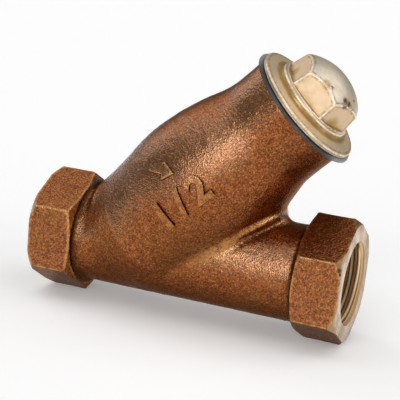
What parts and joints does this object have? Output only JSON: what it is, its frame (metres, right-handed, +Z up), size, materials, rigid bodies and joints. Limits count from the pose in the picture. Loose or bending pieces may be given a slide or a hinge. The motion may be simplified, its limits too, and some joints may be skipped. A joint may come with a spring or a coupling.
{
  "type": "y-strainer",
  "caption": "Y-pattern pipe strainer with threaded hex ends and a slanted branch that holds a tubular screen under a screwed cap.",
  "frame": {"origin": "centre of the inlet's end face, on the run's axis", "axes": "+X along the flow from inlet to outlet, +Z up, with the branch leaning over the outlet in the XZ plane"},
  "size_m": [0.0825, 0.0376, 0.07],
  "materials": {
    "bronze": "sand-cast skin with machined end faces",
    "brass": "pale forged brass",
    "fibre": "matt grey fibre",
    "steel_sheet": "plain stainless sheet",
    "steel_mesh": "woven stainless wire"
  },
  "bodies": {
    "valve": {"body": "bronze", "screen_tube": "steel_sheet", "screen_mesh": "steel_mesh", "screen_foot_ring": "steel_sheet", "screen_head_ring": "steel_sheet"},
    "seal": {"cap_gasket": "fibre"},
    "closure": {"cap": "brass"}
  },
  "joints": [
    {"name": "cap_lift", "type": "slide", "parent": "valve", "child": "seal", "axis": [0.7071, 0, 0.7071], "range_m": [0, 0.0075]},
    {"name": "cap_turn", "type": "hinge", "parent": "seal", "child": "closure", "pos_m": [0.06555, 0, 0.04115], "axis": [0.7071, 0, 0.7071], "range_deg": [0, 1800]}
  ],
  "couplings": [
    {"joint": "cap_lift", "follows": "cap_turn", "m_per_rad": 0.00023873}
  ]
}
